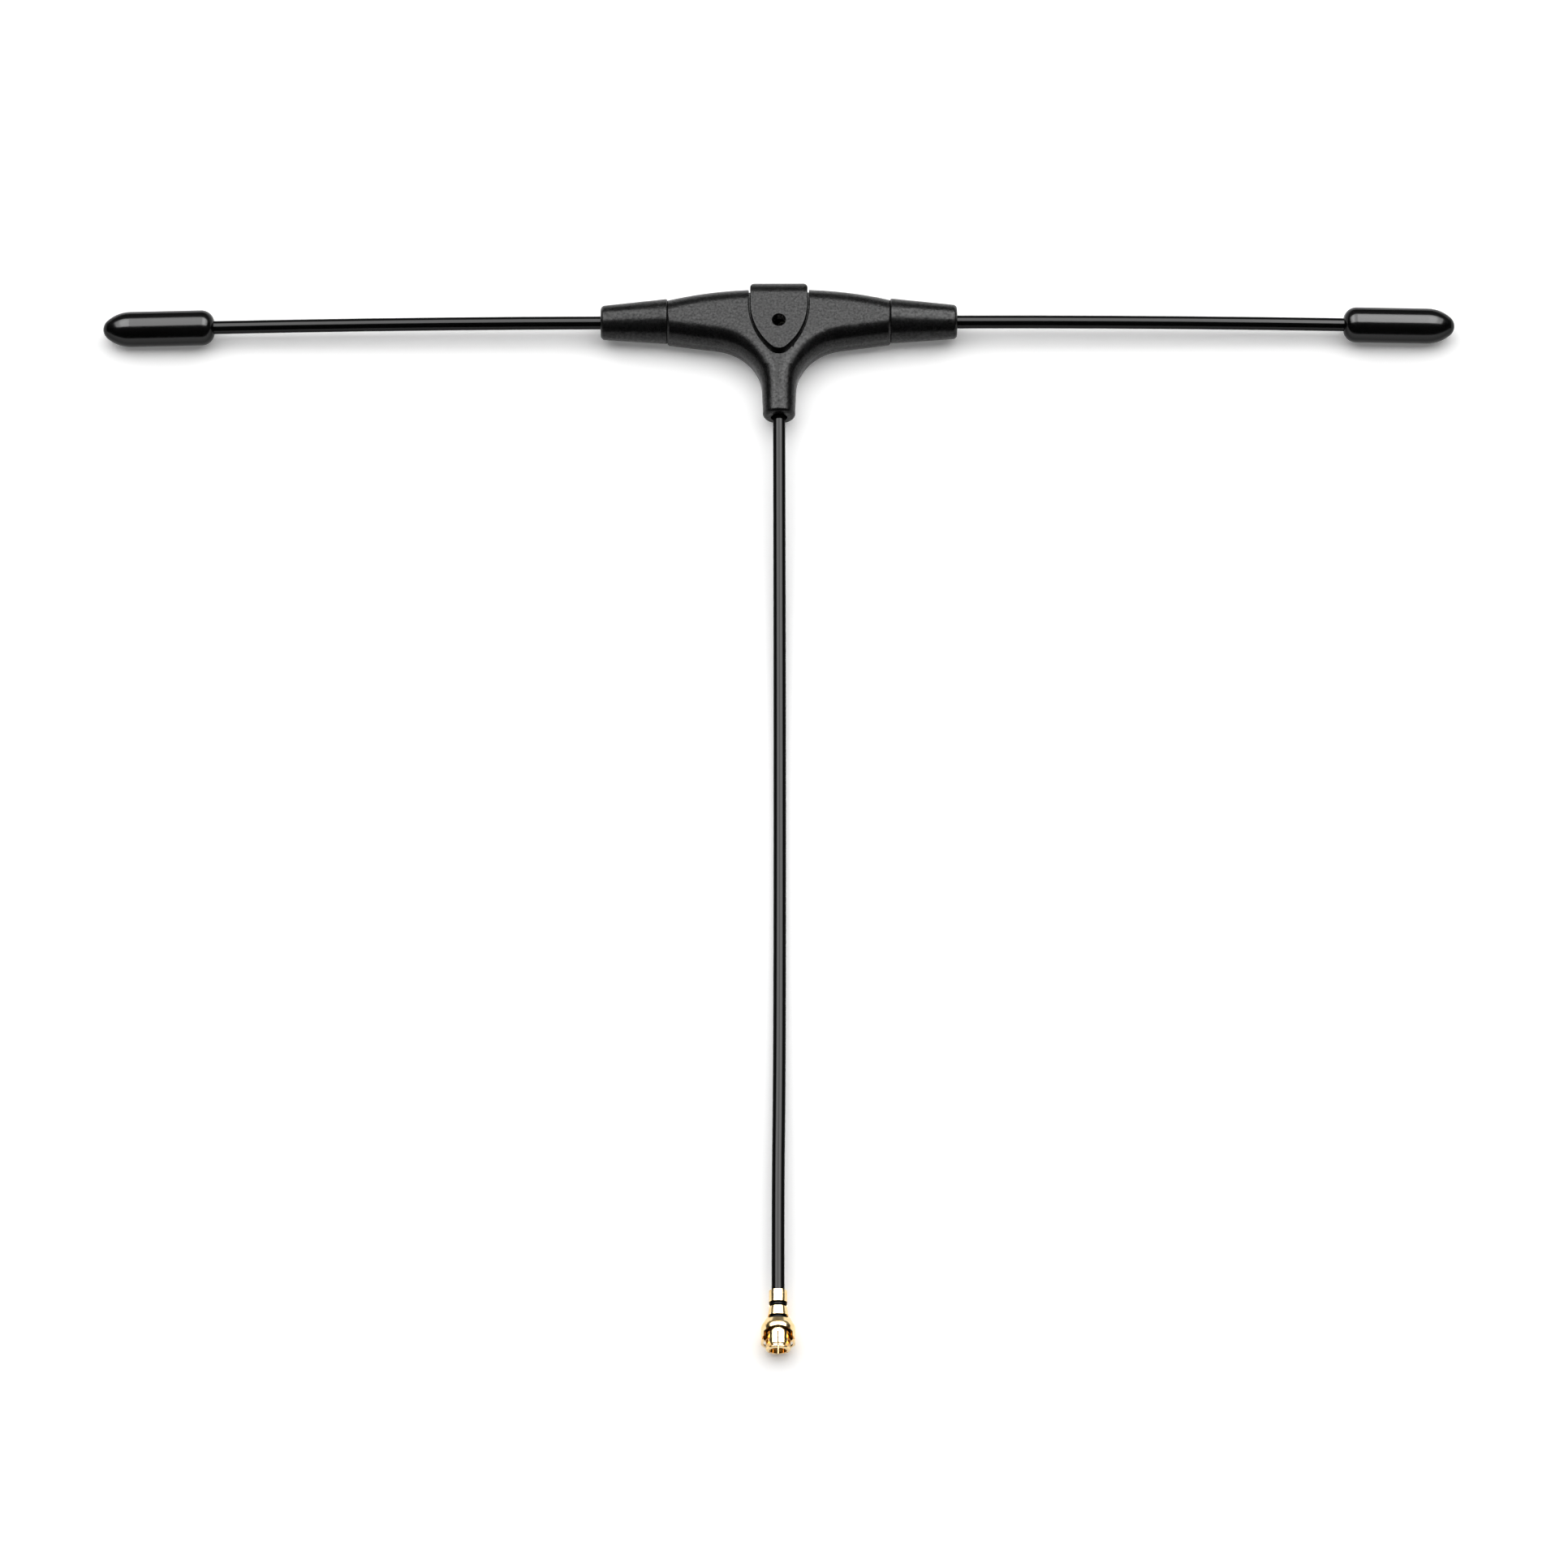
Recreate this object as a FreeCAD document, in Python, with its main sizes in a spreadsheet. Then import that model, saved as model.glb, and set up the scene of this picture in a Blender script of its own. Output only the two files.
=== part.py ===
import FreeCAD, Part
import math
import os

import Sketcher

# T-shaped receiver antenna, lying on its flat back.
# X runs along the two arms, the lead leaves towards -Y and +Z is up.
# The origin is on the resting plane, below the crossing of the arm axis and the plane of symmetry.

# Driving dimensions, in millimetres and degrees
SIZES = {
    # Housing: a plate with fully rounded edges, drawn out into a round stem
    "housing_half_length": 10.3,
    "housing_thickness": 4.2,
    "housing_top": 3.1,
    "crown_half_length": 1.5,
    "arm_end_half": 2.0,
    "edge_flat": 0.02,
    "underside_angle": 8.0,
    "junction_radius": 4.8,
    "stem_radius": 1.56,
    "stem_end_radius": 1.5,
    "stem_end": 9.82,
    "stem_round": 0.38,
    "stem_mouth_radius": 0.76,
    "stem_mouth_depth": 0.9,
    # Hollow under the cover, where the lead is joined to the arms
    "cavity_half_length": 1.65,
    "cavity_top": 1.3,
    "cavity_bottom": 1.6,
    "cavity_floor_drop": 1.0,
    # Cover: a shield-shaped plate with a lip over the housing's top edge
    "cover_thickness": 0.95,
    "cover_half_width": 2.65,
    "cover_shoulder": 0.93,
    "cover_tip": 3.76,
    "cover_tip_radius": 1.0,
    "cover_proud": 0.6,
    "cover_corner": 1.1,
    "cover_top_round": 1.9,
    "cover_crease": 7.5,
    "cover_rim": 0.12,
    "cover_gap": 0.13,
    "cover_tip_gap": 0.47,
    "seat_rim": 0.08,
    "lip_depth": 1.1,
    "lip_reach": 2.0,
    "hole_radius": 0.58,
    "hole_drop": 0.8,
    "hole_chamfer": 0.08,
    # Collars: tapered sleeves pushed over the housing's spigots
    "spigot_radius": 1.25,
    "spigot_length": 4.0,
    "collar_length": 6.17,
    "collar_inset": 0.01,
    "collar_rise": 0.13,
    "collar_tip_radius": 1.57,
    "collar_round": 0.4,
    "seam_round": 0.15,
    "seam_bevel": 0.1,
    # Arms: insulated wires, bent a little by their own weight
    "sleeve_radius": 0.61,
    "sleeve_start": 2.2,
    "sleeve_insert": 6.8,
    "wire_radius": 0.3,
    "wire_start": 1.0,
    "arm_exposed": 35.78,
    "arm_bend_radius": 1650.0,
    "arm_bend_roll": 56.0,
    # End caps
    "cap_length": 10.25,
    "cap_radius": 1.63,
    "cap_dome": 2.55,
    "cap_nose_radius": 1.1,
    "cap_end_radius": 1.2,
    "cap_end_length": 1.15,
    # Lead and its stripped end
    "cable_radius": 0.565,
    "jacket_end": 2.6,
    "braid_radius": 0.44,
    "braid_end": 1.2,
    "dielectric_radius": 0.34,
    "dielectric_end": 0.8,
    "core_radius": 0.12,
    "tail_radius": 0.15,
    "tail_offset": 0.52,
    "tail_start": 1.5,
    "turn_radius": 0.3,
    "solder_start": 0.75,
    "solder_length": 0.7,
    "solder_radius": 0.5,
    "solder_end_radius": 0.36,
    # Plug: a folded shell with two crimps, and the mating barrel that it holds
    "plug_start": 94.3,
    "plug_aside": 0.27,
    "jacket_crimp_length": 1.04,
    "jacket_window": 0.45,
    "braid_crimp_length": 0.78,
    "braid_window": 0.41,
    "braid_window_half": 0.85,
    "crimp_flare": 0.11,
    "shell_wall": 0.22,
    "spine_drop": 0.2,
    "head_radius": 1.5,
    "flare_length": 0.98,
    "shoulder_round": 0.6,
    "head_length": 1.55,
    "mouth_start": 0.27,
    "mouth_half": 1.25,
    "mouth_arch": 2.3,
    "notch_radius": 0.2,
    "notch_offset": 1.19,
    "notch_inset": 0.32,
    "drum_radius": 1.08,
    "neck_length": 0.14,
    "barrel_radius": 0.9,
    "barrel_bore": 0.55,
    "mouth_radius": 0.76,
    "mouth_depth": 1.1,
    "barrel_front": 5.4,
    "bead_radius": 1.09,
    "bead_length": 0.3,
    "bead_round": 0.13,
    "flange_length": 0.3,
    "slit_width": 0.12,
    "slit_length": 1.45,
    "slit_count": 3,
    "insulator_recess": 0.12,
    "insulator_foot_radius": 0.5,
    "contact_radius": 0.3,
    "contact_bore": 0.16,
    "contact_bore_depth": 0.7,
    "cable_in_plug": 2.45,
    # Clearance of a sliding fit, on the radius
    "fit": 0.02,
}

# Route of the lead between the housing and the plug: y and z in millimetres, x as a share of plug_aside.
# It leaves the stem straight, sinks on to the surface below and rises again to the plug's axis.
CABLE_POINTS = (
    (0.0, -15.0, 2.1),
    (0.0, -28.0, 1.3),
    (0.05, -44.0, 0.6),
    (0.2, -61.0, 0.6),
    (0.45, -75.0, 1.0),
    (1.0, -86.0, 1.5),
)
# Share of the shorter run that a bend's arc takes up
BEND_SHARE = 0.45
# Number of steps in which the stem is drawn out along the junction arcs
NECK_STEPS = 3
# Slope of the bevel round the cover's seat, in degrees
RIM_SLOPE = 45

doc = FreeCAD.newDocument("antenna")
sheet = doc.addObject("Spreadsheet::Sheet", "Sizes")


class Size:
    """A number together with the sheet expression that gives it."""

    def __init__(self, value, text):
        self.value = value
        self.text = text

    def __add__(self, other):
        other = as_size(other)
        return Size(self.value + other.value, f"({self.text} + {other.text})")

    def __sub__(self, other):
        other = as_size(other)
        return Size(self.value - other.value, f"({self.text} - {other.text})")

    def __mul__(self, other):
        other = as_size(other)
        return Size(self.value * other.value, f"({self.text} * {other.text})")

    def __truediv__(self, other):
        other = as_size(other)
        return Size(self.value / other.value, f"({self.text} / {other.text})")

    def __neg__(self):
        return Size(-self.value, f"(-1 * {self.text})")


def as_size(number):
    if isinstance(number, Size):
        return number
    return Size(float(number), repr(float(number)))


def square_root(size):
    return Size(math.sqrt(size.value), f"sqrt({size.text})")


def sine(angle):
    return Size(math.sin(math.radians(angle.value)), f"sin({angle.text})")


def cosine(angle):
    return Size(math.cos(math.radians(angle.value)), f"cos({angle.text})")


def smallest(*sizes):
    return Size(min(size.value for size in sizes), f"min({'; '.join(size.text for size in sizes)})")


class Sheet:
    """The spreadsheet's cells, each read by its alias."""

    def __init__(self, sizes):
        for row, (name, value) in enumerate(sizes.items(), start=1):
            cell = f"A{row}"
            sheet.set(cell, str(value))
            sheet.setAlias(cell, name)
            setattr(self, name, Size(float(value), f"Sizes.{name}"))
        doc.recompute()


size = Sheet(SIZES)
ZERO = as_size(0)
AXIS_HEIGHT = size.housing_thickness / 2
COLLAR_END = size.housing_half_length + size.collar_length


# Sketch and feature helpers


def new_body(name, base=(ZERO, ZERO, AXIS_HEIGHT), roll=None):
    """A body whose own origin sits at base, rolled about the X axis where a roll is given."""
    body = doc.addObject("PartDesign::Body", name)
    body.Label = name
    if roll is not None:
        body.Placement.Rotation = FreeCAD.Rotation(FreeCAD.Vector(1, 0, 0), roll.value)
        body.setExpression("Placement.Rotation.Angle", roll.text)
    for axis, place in zip("xyz", base):
        if place is not ZERO:
            body.setExpression(f"Placement.Base.{axis}", place.text)
    return body


def sketch_on(body, role, name, lift=None):
    """An empty sketch on one of the body's origin planes, lifted along its normal."""
    plane = next(feature for feature in body.Origin.OriginFeatures if feature.Role == role)
    sketch = body.newObject("Sketcher::SketchObject", name)
    sketch.AttachmentSupport = [(plane, "")]
    sketch.MapMode = "FlatFace"
    if lift is not None:
        sketch.setExpression("AttachmentOffset.Base.z", lift.text)
    return sketch


def bind(sketch, constraint, value):
    index = sketch.addConstraint(constraint)
    sketch.setExpression(f"Constraints[{index}]", value.text)


def pin(sketch, point, x, y):
    """Ties a point of the sketch to its place; a zero puts it on the sketch's own axis."""
    for value, kind, axis in ((x, "DistanceX", -2), (y, "DistanceY", -1)):
        if value is ZERO:
            sketch.addConstraint(Sketcher.Constraint("PointOnObject", *point, axis))
        else:
            bind(sketch, Sketcher.Constraint(kind, *point, value.value), value)


def arc_between(start, end, radius, hand):
    """The short arc from start to end; its centre is left of the way for hand 1, right for hand -1."""
    way = end - start
    half = way.Length / 2
    across = FreeCAD.Vector(-way.y, way.x, 0).normalize() * hand
    centre = (start + end) * 0.5 + across * math.sqrt(max(radius * radius - half * half, 0.0))
    first, last = (start, end) if hand > 0 else (end, start)
    angles = [math.atan2(place.y - centre.y, place.x - centre.x) for place in (first, last)]
    return Part.ArcOfCircle(Part.Circle(centre, FreeCAD.Vector(0, 0, 1), radius), *angles)


def draw(sketch, corners, rounds=None, hollows=None, closed=True, side=1):
    """Draws an outline through the corners, mirrored for side -1.

    rounds and hollows give the radius of each stretch that is an arc, bowed out or in.
    """
    rounds = rounds or {}
    hollows = hollows or {}
    if side < 0:
        corners = [(x if x is ZERO else -x, y) for x, y in corners]
        rounds, hollows = hollows, rounds
    places = [FreeCAD.Vector(x.value, y.value, 0) for x, y in corners]
    ends = []
    for number in range(len(corners) if closed else len(corners) - 1):
        start = places[number]
        end = places[(number + 1) % len(places)]
        radius = rounds.get(number) or hollows.get(number)
        if radius is None:
            line = sketch.addGeometry(Part.LineSegment(start, end))
            ends.append(((line, 1), (line, 2)))
            continue
        hand = 1 if number in rounds else -1
        arc = sketch.addGeometry(arc_between(start, end, radius.value, hand))
        ends.append(((arc, 1), (arc, 2))[::hand])
        bind(sketch, Sketcher.Constraint("Radius", arc, radius.value), radius)
    for number, (start, end) in enumerate(ends):
        if number or closed:
            sketch.addConstraint(Sketcher.Constraint("Coincident", *ends[number - 1][1], *start))
        pin(sketch, start, *corners[number])
    if not closed:
        pin(sketch, ends[-1][1], *corners[-1])
    return sketch


def draw_circle(sketch, radius, x=ZERO, y=ZERO):
    centre = FreeCAD.Vector(x.value, y.value, 0)
    circle = sketch.addGeometry(Part.Circle(centre, FreeCAD.Vector(0, 0, 1), radius.value))
    pin(sketch, (circle, 3), x, y)
    bind(sketch, Sketcher.Constraint("Radius", circle, radius.value), radius)
    return sketch


def draw_rounded(sketch, half_width, half_height, corner):
    """Draws an upright oblong with round corners about the sketch's origin."""
    inset = half_width - corner
    level = half_height - corner
    corners = [
        (inset, -half_height),
        (half_width, -level),
        (half_width, level),
        (inset, half_height),
        (-inset, half_height),
        (-half_width, level),
        (-half_width, -level),
        (-inset, -half_height),
    ]
    return draw(sketch, corners, rounds={number: corner for number in (0, 2, 4, 6)})


def extrude(body, kind, sketch, length, both_ways=False, backwards=False, taper=0):
    feature = body.newObject(f"PartDesign::{kind}", sketch.Name + "_" + kind.lower())
    feature.Profile = sketch
    feature.SideType = "Symmetric" if both_ways else "One side"
    feature.Reversed = backwards
    feature.TaperAngle = taper
    feature.setExpression("Length", length.text)
    return feature


def turn(body, kind, sketch, axis):
    feature = body.newObject(f"PartDesign::{kind}", sketch.Name + "_" + kind.lower())
    feature.Profile = sketch
    feature.ReferenceAxis = (sketch, [axis])
    feature.Angle = 360
    return feature


def loft(body, name, sections):
    feature = body.newObject("PartDesign::AdditiveLoft", name)
    feature.Profile = sections[0]
    feature.Sections = sections[1:]
    return feature


def sweep(body, section, path):
    feature = body.newObject("PartDesign::AdditivePipe", path.Name + "_pipe")
    feature.Profile = section
    feature.Spine = (path, [f"Edge{number + 1}" for number in range(path.GeometryCount)])
    return feature


def soften(body, kind, amount, wanted):
    """Fillets or chamfers the edges of the body so far that answer to wanted."""
    doc.recompute()
    base = body.Tip
    names = [f"Edge{number}" for number, edge in enumerate(base.Shape.Edges, start=1) if wanted(edge)]
    if not names:
        raise RuntimeError(f"no edge to soften on {body.Label}")
    feature = body.newObject(f"PartDesign::{kind}", f"{body.Name}_{kind.lower()}")
    feature.Base = (base, names)
    feature.setExpression("Radius" if kind == "Fillet" else "Size", amount.text)
    return feature


def near(value, target):
    return abs(value - target) < 1e-4


def is_ring(edge, radius):
    return isinstance(edge.Curve, Part.Circle) and near(edge.Curve.Radius, radius.value)


def on_front(edge):
    """Whether an edge lies in the front face that housing and cover share."""
    return near(edge.CenterOfMass.z, AXIS_HEIGHT.value)


# Shapes that several pieces share


def shield(half_width, tip, tip_radius, top, corner=None):
    """Corners and arcs of the cover's shield: straight sides, bowed flanks and a round tip."""
    shoulder = size.cover_shoulder
    drop = shoulder + tip
    flank = (drop * drop - drop * tip_radius * 2 + half_width * half_width) / ((half_width - tip_radius) * 2)
    touch_x = (flank - half_width) * tip_radius / (flank - tip_radius)
    touch_y = shoulder - flank * (drop - tip_radius) / (flank - tip_radius)
    lower = [(-half_width, shoulder), (-touch_x, touch_y), (touch_x, touch_y), (half_width, shoulder)]
    rounds = {0: flank, 1: tip_radius, 2: flank}
    if corner is None:
        return lower + [(half_width, top), (-half_width, top)], rounds
    rounds.update({4: corner, 6: corner})
    inset = half_width - corner
    side_top = top - corner
    return lower + [(half_width, side_top), (inset, top), (-inset, top), (-half_width, side_top)], rounds


def junction_centre():
    """Centre of the arc that leads the right arm's underside into the stem."""
    radius = size.junction_radius
    slope = size.underside_angle
    across = size.housing_half_length + radius * sine(slope) - size.stem_radius - radius
    fall = across * sine(slope) / cosine(slope)
    return size.stem_radius + radius, -(size.arm_end_half + fall + radius * cosine(slope))


def arm_angle():
    """Angle, in degrees, through which an arm bends between its collar and its cap."""
    return size.arm_exposed / size.arm_bend_radius * Size(180 / math.pi, "180 / pi")


def cap_mouth():
    """Place of the right cap's open end, in the plane in which the arm bends."""
    angle = arm_angle()
    along = COLLAR_END + size.arm_bend_radius * sine(angle)
    return along, size.arm_bend_radius * (cosine(angle) - 1)


def arm_path(body, name, side, start):
    """Straight through housing and collar, one long bend in the open, straight again in the cap."""
    angle = arm_angle()
    mouth_x, mouth_y = cap_mouth()
    end_x = mouth_x + size.sleeve_insert * cosine(angle)
    end_y = mouth_y - size.sleeve_insert * sine(angle)
    corners = [(start, ZERO), (COLLAR_END, ZERO), (mouth_x, mouth_y), (end_x, end_y)]
    path = sketch_on(body, "XY_Plane", f"{name}_path")
    return draw(path, corners, hollows={1: size.arm_bend_radius}, closed=False, side=side)


# Pieces


def make_housing():
    body = new_body("housing")
    centre_x, centre_y = junction_centre()
    radius = size.junction_radius
    neck = AXIS_HEIGHT
    reach = centre_x - neck
    neck_y = centre_y + square_root(radius * radius - reach * reach)
    touch_x = centre_x - radius * sine(size.underside_angle)
    touch_y = centre_y + radius * cosine(size.underside_angle)
    run = size.housing_half_length - size.crown_half_length
    rise = size.housing_top - size.arm_end_half
    crown_radius = (run * run + rise * rise) / (rise * 2)

    # Right half of the plate, from the neck round the arm to the crown
    plate = draw(
        sketch_on(body, "XY_Plane", "half_plate"),
        [
            (ZERO, neck_y),
            (neck, neck_y),
            (touch_x, touch_y),
            (size.housing_half_length, -size.arm_end_half),
            (size.housing_half_length, size.arm_end_half),
            (size.crown_half_length, size.housing_top),
            (ZERO, size.housing_top),
        ],
        rounds={4: crown_radius},
        hollows={1: radius},
    )
    half = extrude(body, "Pad", plate, size.housing_thickness, both_ways=True)
    mirrored = body.newObject("PartDesign::Mirrored", "plate")
    mirrored.Originals = [half]
    mirrored.MirrorPlane = (next(f for f in body.Origin.OriginFeatures if f.Role == "YZ_Plane"), [""])
    body.Tip = mirrored

    def on_face_rim(edge):
        middle = edge.CenterOfMass
        on_face = near(abs(middle.z), AXIS_HEIGHT.value)
        on_end = near(abs(middle.x), size.housing_half_length.value) or near(middle.y, neck_y.value)
        return on_face and not on_end

    # The junction arcs reach the neck at a slant, so their rounding is smaller by that slant
    edge_radius = smallest(AXIS_HEIGHT, size.arm_end_half) - size.edge_flat
    soften(body, "Fillet", edge_radius, lambda edge: on_face_rim(edge) and edge.CenterOfMass.y > 0)
    lower_radius = edge_radius * reach / radius
    soften(body, "Fillet", lower_radius, lambda edge: on_face_rim(edge) and edge.CenterOfMass.y < 0)

    # Stem: its sides go on along the junction arcs while front and back sink to a round end
    stem_round = size.stem_round
    round_start = size.stem_end - stem_round
    sections = []

    def add_section(place, half_width, corner):
        share = (neck_y - place) / (neck_y + round_start)
        sunk = (AXIS_HEIGHT - size.stem_end_radius) * share * share * (as_size(3) - share * 2)
        sketch = sketch_on(body, "XZ_Plane", f"stem_{len(sections)}", -place)
        sections.append(draw_rounded(sketch, half_width, AXIS_HEIGHT - sunk, corner))

    add_section(neck_y, neck, lower_radius)
    for step in range(1, NECK_STEPS + 1):
        above = (neck_y - centre_y) * (1 - step / NECK_STEPS)
        half_width = centre_x - square_root(radius * radius - above * above)
        add_section(centre_y + above, half_width, half_width - size.edge_flat)
    middle_width = (size.stem_radius + size.stem_end_radius) / 2
    add_section((centre_y - round_start) / 2, middle_width, middle_width - size.edge_flat)
    add_section(-round_start, size.stem_end_radius, size.stem_end_radius - size.edge_flat)
    loft(body, "stem", sections)
    stem_end = draw(
        sketch_on(body, "XY_Plane", "stem_end"),
        [
            (ZERO, -size.stem_end),
            (size.stem_end_radius - stem_round, -size.stem_end),
            (size.stem_end_radius, -round_start),
            (ZERO, -round_start),
        ],
        rounds={1: stem_round},
    )
    turn(body, "Revolution", stem_end, "V_Axis")

    # Bevelled rim at the end of each arm, where the collar meets it
    bevel = size.seam_bevel
    for label, side in (("left", -1), ("right", 1)):
        rim_corners = [
            (size.housing_half_length, AXIS_HEIGHT - bevel),
            (size.housing_half_length, AXIS_HEIGHT + bevel),
            (size.housing_half_length - bevel * 2, AXIS_HEIGHT + bevel),
        ]
        groove = draw(sketch_on(body, "XY_Plane", f"{label}_seam"), rim_corners, side=side)
        turn(body, "Groove", groove, "H_Axis")

    # Spigots for the collars, and the bore for the arms
    spigot_span = (size.housing_half_length + size.spigot_length) * 2
    spigots = draw_circle(sketch_on(body, "YZ_Plane", "spigots"), size.spigot_radius)
    extrude(body, "Pad", spigots, spigot_span, both_ways=True)
    arm_bore = draw_circle(sketch_on(body, "YZ_Plane", "arm_bore"), size.sleeve_radius + size.fit)
    extrude(body, "Pocket", arm_bore, spigot_span, both_ways=True)

    # Bore for the lead, with a wider mouth
    lead_bore = draw_circle(sketch_on(body, "XZ_Plane", "lead_bore"), size.cable_radius + size.fit)
    extrude(body, "Pocket", lead_bore, size.stem_end, backwards=True)
    mouth_lift = size.stem_end - size.stem_mouth_depth
    lead_mouth = draw_circle(sketch_on(body, "XZ_Plane", "lead_mouth", mouth_lift), size.stem_mouth_radius)
    extrude(body, "Pocket", lead_mouth, size.stem_mouth_depth, backwards=True)

    # Hollow for the joints, then the seat of the cover's lip, open at the top
    cavity_half = size.cavity_half_length
    cavity = draw(
        sketch_on(body, "XY_Plane", "cavity", AXIS_HEIGHT),
        [
            (-cavity_half, -size.cavity_bottom),
            (cavity_half, -size.cavity_bottom),
            (cavity_half, size.cavity_top),
            (-cavity_half, size.cavity_top),
        ],
    )
    extrude(body, "Pocket", cavity, AXIS_HEIGHT + size.cavity_floor_drop)
    gap = size.cover_gap
    open_top = size.housing_top + size.cover_proud
    lip_half = size.cover_half_width + gap
    lip_floor = size.housing_top - size.lip_depth
    lip_seat = draw(
        sketch_on(body, "XY_Plane", "lip_seat", AXIS_HEIGHT),
        [(-lip_half, lip_floor), (lip_half, lip_floor), (lip_half, open_top), (-lip_half, open_top)],
    )
    extrude(body, "Pocket", lip_seat, size.lip_reach + size.fit)

    def seat_outline(margin):
        half_width = size.cover_half_width + gap + margin
        tip = size.cover_tip + size.cover_tip_gap + margin
        return shield(half_width, tip, size.cover_tip_radius + gap + margin, open_top + margin)

    # Seat of the cover: the shield with its gap, and the bevel round its rim
    seat = draw(sketch_on(body, "XY_Plane", "cover_seat", AXIS_HEIGHT), *seat_outline(ZERO))
    extrude(body, "Pocket", seat, size.cover_thickness)
    rim = draw(sketch_on(body, "XY_Plane", "seat_rim", AXIS_HEIGHT), *seat_outline(size.seat_rim))
    extrude(body, "Pocket", rim, size.seat_rim, taper=-RIM_SLOPE)
    return body


def make_cover():
    body = new_body("cover")
    top = size.housing_top + size.cover_proud
    outline = shield(size.cover_half_width, size.cover_tip, size.cover_tip_radius, top, size.cover_corner)
    plate = draw(sketch_on(body, "XY_Plane", "cover_plate", AXIS_HEIGHT), *outline)
    extrude(body, "Pad", plate, size.cover_thickness, backwards=True)

    # The lip hooks over the top edge of the housing
    half = size.cover_half_width
    inset = half - size.cover_corner
    side_top = top - size.cover_corner
    lip_floor = size.housing_top - size.lip_depth + size.fit
    lip = draw(
        sketch_on(body, "XY_Plane", "cover_lip", AXIS_HEIGHT),
        [
            (-half, lip_floor),
            (half, lip_floor),
            (half, side_top),
            (inset, top),
            (-inset, top),
            (-half, side_top),
        ],
        rounds={2: size.cover_corner, 4: size.cover_corner},
    )
    extrude(body, "Pad", lip, size.lip_reach, backwards=True)
    hole = draw_circle(
        sketch_on(body, "XY_Plane", "cover_hole", AXIS_HEIGHT), size.hole_radius, ZERO, -size.hole_drop
    )
    extrude(body, "Pocket", hole, size.cover_thickness)

    hole_radius = size.hole_radius
    hole_rim = hole_radius + size.hole_chamfer
    soften(body, "Chamfer", size.hole_chamfer, lambda edge: on_front(edge) and is_ring(edge, hole_radius))
    soften(body, "Fillet", size.cover_rim, lambda edge: on_front(edge) and not is_ring(edge, hole_rim))

    # The top is rounded over like the housing's edge, from a slight crease across the face
    bow = size.cover_top_round
    front = AXIS_HEIGHT
    crease = top - bow * (as_size(1) - sine(size.cover_crease))
    bow_end = front - bow * cosine(size.cover_crease)
    over_top = top + bow
    over_front = front + bow
    corner = draw(
        sketch_on(body, "YZ_Plane", "cover_top_corner"),
        [
            (crease, front),
            (top, bow_end),
            (over_top, bow_end),
            (over_top, over_front),
            (crease, over_front),
        ],
        hollows={0: bow},
    )
    extrude(body, "Pocket", corner, half * 2, both_ways=True)
    return body


def make_collar(name, side):
    """A tapered collar, whose root sits a little above the arm's axis."""
    body = new_body(name)
    root = size.housing_half_length
    root_radius = AXIS_HEIGHT - size.collar_inset
    tip_ring = sketch_on(body, "YZ_Plane", f"{name}_tip", COLLAR_END * side)
    root_ring = sketch_on(body, "YZ_Plane", f"{name}_root", root * side)
    sections = [
        draw_circle(tip_ring, size.collar_tip_radius),
        draw_circle(root_ring, root_radius, size.collar_rise),
    ]
    loft(body, f"{name}_cone", sections[::side])
    for place, amount in ((COLLAR_END, size.collar_round), (root, size.seam_round)):
        soften(body, "Fillet", amount, lambda edge: near(abs(edge.CenterOfMass.x), place.value))

    outwards = side > 0
    wide_bore = draw_circle(
        sketch_on(body, "YZ_Plane", f"{name}_seat", root * side), size.spigot_radius + size.fit
    )
    extrude(body, "Pocket", wide_bore, size.spigot_length + size.fit, backwards=outwards)
    narrow_bore = draw_circle(
        sketch_on(body, "YZ_Plane", f"{name}_bore", root * side), size.sleeve_radius + size.fit
    )
    extrude(body, "Pocket", narrow_bore, size.collar_length, backwards=outwards)
    return body


def make_sleeve(name, side):
    body = new_body(name, roll=size.arm_bend_roll)
    path = arm_path(body, name, side, size.sleeve_start)
    ring = sketch_on(body, "YZ_Plane", f"{name}_ring", size.sleeve_start * side)
    draw_circle(ring, size.sleeve_radius)
    draw_circle(ring, size.wire_radius + size.fit)
    sweep(body, ring, path)
    return body


def make_wire(name, side):
    body = new_body(name, roll=size.arm_bend_roll)
    path = arm_path(body, name, side, size.wire_start)
    disc = sketch_on(body, "YZ_Plane", f"{name}_disc", size.wire_start * side)
    draw_circle(disc, size.wire_radius)
    sweep(body, disc, path)
    return body


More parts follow.
